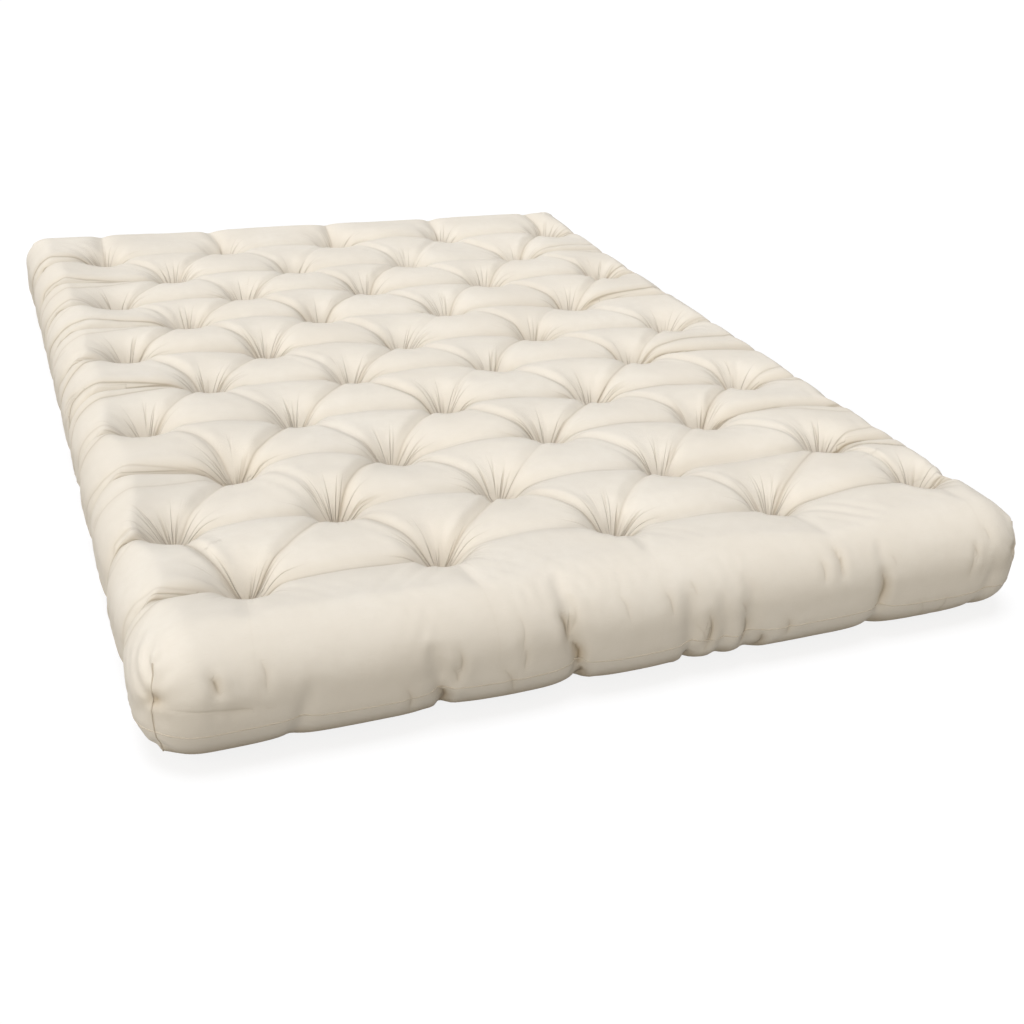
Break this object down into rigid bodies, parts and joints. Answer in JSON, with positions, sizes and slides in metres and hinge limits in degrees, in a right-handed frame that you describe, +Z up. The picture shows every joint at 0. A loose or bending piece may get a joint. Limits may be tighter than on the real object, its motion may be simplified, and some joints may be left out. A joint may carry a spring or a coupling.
{
  "type": "futon mattress",
  "caption": "Thick hand-tufted cotton futon mattress: plain casing sewn round layered batting, drawn down by rows of cords into deep dimples, for sleeping or sitting on.",
  "frame": {"origin": "middle of the bottom panel's flat underside, where the mattress rests", "axes": "+Z up out of the sleeping face, +Y along the length from the near end to the far end, +X across the width to the right"},
  "size_m": [1.372, 1.905, 0.172],
  "materials": {
    "casing_cloth": "plain-woven unbleached cotton, matte",
    "seam_thread": "sewn cotton seam, matte",
    "cotton_batting": "loose felted cotton, matte",
    "tufting_cord": "twisted cotton cord, matte"
  },
  "bodies": {
    "root": {"casing_top_panel": "casing_cloth", "casing_bottom_panel": "casing_cloth", "side_seam_left": "seam_thread", "side_seam_right": "seam_thread", "end_seam_near": "seam_thread", "end_seam_far": "seam_thread", "corner_seam_1": "seam_thread", "corner_seam_2": "seam_thread", "corner_seam_3": "seam_thread", "corner_seam_4": "seam_thread", "cotton_batting_1": "cotton_batting", "cotton_batting_2": "cotton_batting", "cotton_batting_3": "cotton_batting", "cotton_batting_4": "cotton_batting", "cotton_batting_5": "cotton_batting", "cotton_batting_6": "cotton_batting", "cotton_batting_7": "cotton_batting", "tuft_cords_row_1": "tufting_cord", "tuft_cords_row_2": "tufting_cord", "tuft_cords_row_3": "tufting_cord", "tuft_cords_row_4": "tufting_cord", "tuft_cords_row_5": "tufting_cord", "tuft_cords_row_6": "tufting_cord", "tuft_cords_row_7": "tufting_cord", "tuft_cords_row_8": "tufting_cord", "tuft_cords_row_9": "tufting_cord", "tuft_cords_row_10": "tufting_cord", "top_knots_row_1": "tufting_cord", "top_knots_row_2": "tufting_cord", "top_knots_row_3": "tufting_cord", "top_knots_row_4": "tufting_cord", "top_knots_row_5": "tufting_cord", "top_knots_row_6": "tufting_cord", "top_knots_row_7": "tufting_cord", "top_knots_row_8": "tufting_cord", "top_knots_row_9": "tufting_cord", "top_knots_row_10": "tufting_cord", "bottom_knots_row_1": "tufting_cord", "bottom_knots_row_2": "tufting_cord", "bottom_knots_row_3": "tufting_cord", "bottom_knots_row_4": "tufting_cord", "bottom_knots_row_5": "tufting_cord", "bottom_knots_row_6": "tufting_cord", "bottom_knots_row_7": "tufting_cord", "bottom_knots_row_8": "tufting_cord", "bottom_knots_row_9": "tufting_cord", "bottom_knots_row_10": "tufting_cord"}
  },
  "joints": []
}
